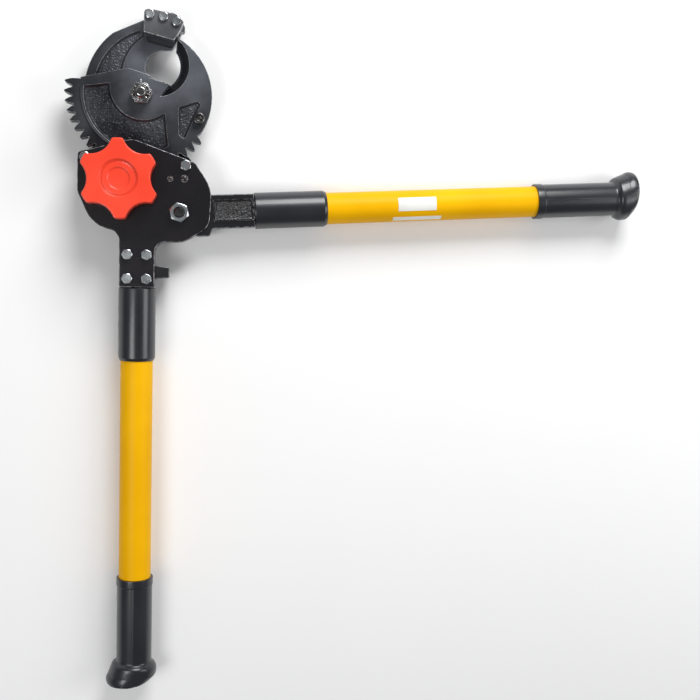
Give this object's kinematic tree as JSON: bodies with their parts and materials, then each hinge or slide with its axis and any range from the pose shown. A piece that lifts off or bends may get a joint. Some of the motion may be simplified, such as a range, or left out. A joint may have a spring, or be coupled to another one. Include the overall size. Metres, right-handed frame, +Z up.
{
  "type": "ratcheting cable cutter",
  "caption": "Two-handled ratcheting cable cutter: a geared hook blade turns on a fixed blade, fed by a lobed knob or by pumping the swinging handle.",
  "frame": {"origin": "middle of the cutter's outline, on the surface it lies on, knob upward", "axes": "+Z up along the pivots toward the knob, +Y toward the jaw tip along the fixed handle, +X toward the moving handle's end"},
  "size_m": [0.5925, 0.6778, 0.065],
  "materials": {
    "blackened": "satin blackened forging",
    "dark_steel": "dark phosphated",
    "bronze": "satin",
    "zinc": "bright zinc plate",
    "black_paint": "semi-gloss",
    "red_plastic": "gloss",
    "rubber": "satin",
    "yellow": "gloss",
    "spring": "bright wire",
    "white_label": "satin"
  },
  "bodies": {
    "housing": {"fixed_blade": "blackened", "pivot_bolt": "dark_steel", "pivot_washers": "dark_steel", "castle_nut": "dark_steel", "cotter_pin": "dark_steel", "blade_guide": "blackened", "guide_spacer": "blackened", "guide_bolts": "zinc", "front_plate": "black_paint", "rear_plate": "black_paint", "plate_spacers": "dark_steel", "plate_bolts": "zinc", "plate_nuts": "zinc", "shaft_bushes": "bronze", "handle_bolt": "zinc", "handle_nut": "zinc", "handle_washers": "zinc", "holding_pawl_pin": "zinc", "spring_post": "zinc", "holding_pawl_spring": "spring", "fixed_fitting": "black_paint", "fixed_sleeve": "rubber", "fixed_tube": "yellow", "fixed_grip": "rubber"},
    "moving_blade": {"moving_blade": "blackened", "blade_bush": "bronze", "stop_screw": "zinc"},
    "knob": {"pinion_shaft": "dark_steel", "shaft_clip": "dark_steel", "knob": "red_plastic", "knob_screw": "zinc", "knob_cap": "red_plastic"},
    "moving_handle": {"hub_bush": "bronze", "moving_arm": "black_paint", "drive_pawl_pin": "dark_steel", "drive_pawl_spring": "spring", "moving_sleeve": "rubber", "moving_tube": "yellow", "moving_grip": "rubber", "tube_labels": "white_label"},
    "drive_pawl": {"drive_pawl": "dark_steel"},
    "holding_pawl": {"holding_pawl": "dark_steel"}
  },
  "joints": [
    {"name": "blade_pivot", "type": "hinge", "parent": "housing", "child": "moving_blade", "pos_m": [-0.22501, 0.25865, 0.02224], "axis": [0, 0, 1], "range_deg": [-37.5, 67.5]},
    {"name": "knob_spin", "type": "hinge", "parent": "housing", "child": "knob", "pos_m": [-0.24439, 0.17472, 0.02224], "axis": [0, 0, 1], "range_deg": [-295, 164]},
    {"name": "handle_pivot", "type": "hinge", "parent": "housing", "child": "moving_handle", "pos_m": [-0.18751, 0.14565, 0.02224], "axis": [0, 0, 1], "range_deg": [-85, 0]},
    {"name": "drive_pawl_swing", "type": "hinge", "parent": "moving_handle", "child": "drive_pawl", "pos_m": [-0.19985, 0.15227, 0.02224], "axis": [0, 0, 1], "range_deg": [0, 97.5]},
    {"name": "holding_pawl_swing", "type": "hinge", "parent": "housing", "child": "holding_pawl", "pos_m": [-0.19651, 0.17835, 0.02224], "axis": [0, 0, 1], "range_deg": [0, 19]}
  ],
  "couplings": [
    {"joint": "knob_spin", "follows": "blade_pivot", "ratio": -4.3636},
    {"joint": "drive_pawl_swing", "follows": "handle_pivot", "ratio": -1.14}
  ]
}
